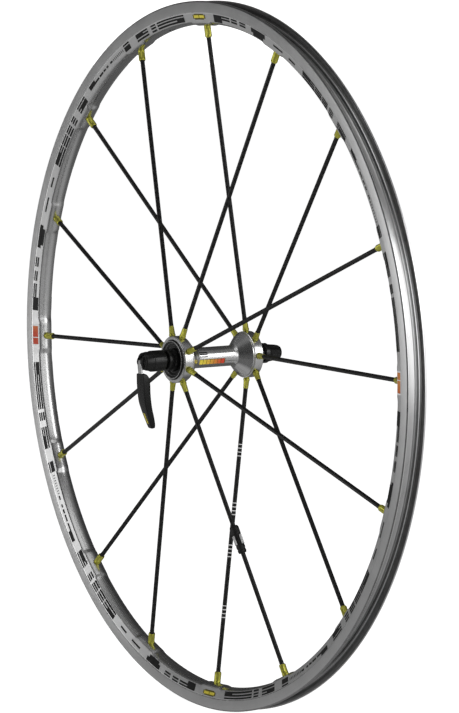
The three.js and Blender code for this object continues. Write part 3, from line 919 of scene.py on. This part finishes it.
def skewer_rod():
    """The rod, with the eye that the lever's pin goes through."""
    profile = rounded([(0, -64.6, 0), (ROD_R, -64.6), (ROD_R, 66.5, 0.5), (0, 66.5, 0)])
    made = piece("skewer_rod_finished", turned(profile, 48), STEEL, "skewer", ["skewer_rod"])
    half = EYE_HALF_W
    flat = rounded([(-half, -70), (half, -70), (half, -64), (-half, -64)], 0.2)
    carve(made, lofted([[(x, y, z) for x, y in flat] for z in (-2.2, 2.2)]), "UNION")
    carve(made, disc_across_x(EYE_R, -half, half, PIN_Y), "UNION")
    carve(made, disc_across_x(PIN_BORE_R, -4, 4, PIN_Y, 0))


def skewer_head():
    """The grooved cylinder on the lever's side, slotted for the cams and the rod's eye."""
    profile = rounded([
        (7.4, 52.4), (8.9, 52.4, 0.2), (HEAD_R, 53.0, 0.4), (HEAD_R, 64.9, 0.2), (9.05, 65.3, 0.1),
        (9.05, 66.4, 0.1), (9.28, 66.7, 0.1), (8.45, 72.3, 0.3), (7.7, 73.4, 0.3), (3, 73.4, 0.3),
        (3, 58.6, 0.2), (7.4, 58.6, 0.3),
    ])
    made = ring_of("skewer_head_finished", profile, BLACK, "skewer_head",
                   "skewer_head", -1, 128)
    half = SLOT_HALF_W
    slot = rounded([(-half, 65.3, 0.6), (half, 65.3, 0.6), (half, 85, 0), (-half, 85, 0)])
    carve(made, lofted([[(x, y, z) for x, y in slot] for z in (-15, 15)]))


# Each station down the lever's blade: height, outer face, inner face and half width.
BLADE = (
    (-10.0, -76.2, -72.4, 5.2), (-14.0, -75.9, -69.2, 6.0), (-20.0, -75.6, -68.2, 6.2),
    (-28.0, -74.9, -67.9, 6.2), (-36.0, -73.8, -66.9, 5.9), (-43.0, -71.8, -65.3, 5.2),
    (-50.0, -69.3, -63.1, 4.4), (-56.0, -67.0, -61.7, 3.6), (-60.2, -65.4, -61.4, 2.7),
)
# The same for its neck, from beside the cams down into the blade.
NECK = (
    (1.6, -76.3, -74.6, 3.0), (-1.0, -76.5, -74.4, 3.2), (-4.0, -76.6, -74.5, 2.7),
    (-8.6, -76.2, -74.2, 2.6), (-11.0, -75.6, -73.0, 3.0),
)


def closing(t, length, least):
    """How full the blade is at t from one end: a quarter round over length, no less than least."""
    return math.sqrt(max(1 - (1 - min(t / length, 1)) ** 2, least))


def lever_blade():
    """The blade, lofted down its length, with a blunt top and a rounded tip."""
    rings = []
    steps = 56
    for k in range(steps + 1):
        t = k / steps
        z, outer, inner, half = between(BLADE, t)
        cap = min(1.0, closing(t, 0.05, 0.09), closing(1 - t, 0.06, 0.02))
        depth, half = (inner - outer) / 2 * cap, half * cap
        middle, chamfer = (outer + inner) / 2, min(1.3, 0.4 * depth, 0.4 * half)
        corners = [(half * a, middle + depth * b, chamfer) for a, b in ((-1, -1), (1, -1), (1, 1), (-1, 1))]
        rings.append([(x, y, z) for x, y in rounded(corners, steps=6)])
    return lofted(rings)


def lever_accent():
    """Slanted yellow bars inlaid in the blade's outer face, near its tip."""
    bars = []
    for n in range(6):
        rings = []
        for across in (-2.6 + 0.12 * n, 0.2 + 0.12 * n):
            start = 0.69 + 0.03 * n + 0.006 * across
            z0, outer, _, _ = between(BLADE, start)
            z1, lower, _, _ = between(BLADE, start + 0.02)
            rings.append([(across, outer - 0.06, z0), (across, lower - 0.06, z1),
                          (across, lower + 0.5, z1), (across, outer + 0.5, z0)])
        bars.append(lofted(rings))
    piece("lever_accent", joined(*bars), INK_YELLOW, "lever")


def lever_neck():
    """The flat satin strip that joins the blade to the cams."""
    rings = []
    for z, outer, inner, half in NECK:
        outline = rounded([(-half, outer), (half, outer), (half, inner), (-half, inner)], 0.6)
        rings.append([(x, y, z) for x, y in outline])
    return lofted(rings)


def lever():
    """The blade with its two cams, the neck, the pin and the inlaid bars."""
    made = piece("lever_finished", lever_blade(), LEVER_SKIN, "lever", ["lever"])
    piece("lever_neck_finished", lever_neck(), SATIN, "lever", ["lever"])
    carve(made, disc_across_x(CAM_R, CAM_IN_X, PIN_HALF, CAM_Y), "UNION")
    carve(made, disc_across_x(CAM_R, -PIN_HALF, -CAM_IN_X, CAM_Y), "UNION")
    carve(made, disc_across_x(PIN_BORE_R, -6, 6, PIN_Y, 0))
    pin = disc_across_x(PIN_R, -PIN_HALF, PIN_HALF, PIN_Y)
    piece("lever_pin_finished", pin, STEEL, "lever", ["lever_pin"])
    lever_accent()


NUT_BORE_R = 2.8
NUT_SCALLOPS = 8
NUT_SCALLOP_DEPTH = 0.75


def skewer_nut():
    """The tapered nut, scalloped for the fingers, and its nylon insert."""
    bore = NUT_BORE_R
    profile = rounded([
        (7.4, 52.4), (8.6, 52.4, 0.2), (9.1, 53.0, 0.4), (9.1, 56.6, 0.4), (8.2, 57.4, 0.4),
        (7.0, 68.2, 1.2), (5.6, 71, 0.8), (4.3, 71, 0.2), (4.3, 62.7, 0), (bore, 62.7, 0),
        (bore, 58.6, 0), (7.4, 58.6, 0.3),
    ], steps=5)

    def reshape(radius, y, angle):
        if radius < 5.4 or y < 57.2:
            return radius, y
        fade = smooth_step((y - 57.6) / 1.5) * smooth_step((70.8 - y) / 2.5)
        hollow = (0.5 + 0.5 * math.cos(NUT_SCALLOPS * angle)) ** 2
        return radius - NUT_SCALLOP_DEPTH * fade * hollow, y

    piece("skewer_nut_finished", turned(stepped(profile, 0.9), 160, reshape), BLACK, "skewer_nut",
          ["skewer_nut"])
    insert = rounded([(bore, 63), (4, 63), (4, 70.4, 0.2), (bore, 70.4, 0.2)])
    piece("nut_insert_finished", turned(insert, 48), NYLON, "skewer_nut", ["skewer_nut_insert"])


rim()
rim_prints()
spokes()
spoke_marks()
sensor_magnet()
hub()
hub_prints()
for end_name, end_side in ENDS:
    bearing(end_name, end_side)
    end_parts(end_name, end_side)
axle()
skewer_rod()
skewer_head()
lever()
skewer_nut()


# Studio.
FLOOR_RADIUS = 14
FLOOR_GLOW = 0.92
BACKDROP_RADIUS = 16
BACKDROP_GLOW = 1.3


def studio():
    """A pale floor, and a white backdrop that only the camera sees."""
    floor_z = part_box("rim")[0].z
    white = Look("studio_white", Roughness=0.9)
    white.finish(white.colours(white.noise(white.place, 3.0), grey(0.86), grey(0.88)))
    white.shader.inputs["Emission Color"].default_value = (1, 1, 1, 1)
    white.shader.inputs["Emission Strength"].default_value = FLOOR_GLOW
    bpy.ops.mesh.primitive_circle_add(
        vertices=96, radius=FLOOR_RADIUS, fill_type="NGON", location=(0, 0, floor_z))
    floor = bpy.context.object
    floor.name = "floor"
    floor.data.materials.append(white.material)
    floor.visible_glossy = False

    glow = bpy.data.materials.new("backdrop_white")
    glow.use_nodes = True
    glow.node_tree.nodes.clear()
    emit = glow.node_tree.nodes.new("ShaderNodeEmission")
    emit.inputs["Strength"].default_value = BACKDROP_GLOW
    out = glow.node_tree.nodes.new("ShaderNodeOutputMaterial")
    glow.node_tree.links.new(emit.outputs[0], out.inputs[0])
    bpy.ops.mesh.primitive_uv_sphere_add(segments=48, ring_count=24, radius=BACKDROP_RADIUS)
    dome = bpy.context.object
    dome.name = "backdrop"
    dome.data.materials.append(glow)
    for rays in ("diffuse", "glossy", "shadow", "transmission"):
        setattr(dome, f"visible_{rays}", False)


CAMERA_TURN = 57.3485     # degrees round from the -Y side towards +X
CAMERA_RISE = 6.5272
CAMERA_DISTANCE = 3.5828
CAMERA_TARGET = Vector((0.00796, 0.01327, 0.0002))
CAMERA_LENS = 202.493
CAMERA_SENSOR = 36


def toward(turn, rise):
    """The direction at turn degrees round from -Y and rise degrees up."""
    a, e = math.radians(turn), math.radians(rise)
    return Vector((math.sin(a) * math.cos(e), -math.cos(a) * math.cos(e), math.sin(e)))


def camera():
    data = bpy.data.cameras.new("camera")
    data.lens, data.sensor_width = CAMERA_LENS, CAMERA_SENSOR
    data.clip_end = 40
    made = bpy.data.objects.new("camera", data)
    bpy.context.scene.collection.objects.link(made)
    back = toward(CAMERA_TURN, CAMERA_RISE)
    made.location = CAMERA_TARGET + back * CAMERA_DISTANCE
    made.rotation_mode = "QUATERNION"
    made.rotation_quaternion = (-back).to_track_quat("-Z", "Y")
    bpy.context.scene.camera = made


def softbox(name, turn, distance, height, width, tall, radiance):
    """A rectangular soft light that faces the wheel: turn is round from the camera's side, height
    is its centre's, and radiance is how bright it looks."""
    data = bpy.data.lights.new(name, "AREA")
    data.shape = "RECTANGLE"
    data.size, data.size_y = width, tall
    data.energy = radiance * math.pi * width * tall
    made = bpy.data.objects.new(name, data)
    bpy.context.scene.collection.objects.link(made)
    made.location = toward(CAMERA_TURN + turn, 0) * distance + Vector((0, 0, height))
    made.rotation_mode = "QUATERNION"
    made.rotation_quaternion = (-made.location).to_track_quat("-Z", "Y")


# How bright the surroundings are, from straight down at 0 to straight up at 1, and by what share at
# each turn round from the camera's side.
SURROUNDINGS = ((0.20, 0.36), (0.36, 0.42), (0.46, 0.24), (0.58, 0.13), (0.85, 0.12), (0.97, 0.28))
ROUND_ABOUT = ((-170, 0.35), (-135, 0.9), (-60, 1.0), (-38, 0.35), (-4, 0.35), (10, 1.0), (85, 1.0),
               (120, 0.3))


def world():
    """Studio surroundings: a pale table below, and dim walls that brighten overhead."""
    made = bpy.data.worlds.new("studio")
    bpy.context.scene.world = made
    made.use_nodes = True
    tree = made.node_tree

    def node(kind, **settings):
        added = tree.nodes.new("ShaderNode" + kind)
        for key, value in settings.items():
            setattr(added, key, value)
        return added

    def ramp(value, stops):
        added = node("ValToRGB")
        elements = added.color_ramp.elements
        while len(elements) < len(stops):
            elements.new(0.5)
        for element, (at, level) in zip(elements, sorted(stops)):
            element.position = at
            element.color = (level, level, level, 1)
        tree.links.new(value, added.inputs[0])
        return added.outputs[0]

    place, split = node("TexCoord").outputs["Generated"], node("SeparateXYZ")
    height, circle = node("MapRange"), node("TexGradient", gradient_type="RADIAL")
    height.inputs["From Min"].default_value = -1
    tree.links.new(place, split.inputs[0])
    tree.links.new(place, circle.inputs[0])
    tree.links.new(split.outputs[2], height.inputs["Value"])
    turns = [(((CAMERA_TURN + turn - 90) / 360 + 0.5) % 1, share) for turn, share in ROUND_ABOUT]
    product = node("VectorMath", operation="MULTIPLY")
    tree.links.new(ramp(height.outputs[0], SURROUNDINGS), product.inputs[0])
    tree.links.new(ramp(circle.outputs[1], turns), product.inputs[1])
    tree.links.new(product.outputs[0], tree.nodes["Background"].inputs[0])


camera()
studio()
world()
softbox("key", 42, 2.2, 0.50, 2.6, 1.6, 1.35)
softbox("spark", 66, 2.0, 0.85, 0.5, 0.8, 3.0)
softbox("side", -76, 2.6, 0.25, 2.2, 1.3, 1.7)
softbox("top", 12, 1.0, 2.4, 2.0, 1.4, 0.7)
bpy.context.scene.view_settings.view_transform = "Standard"
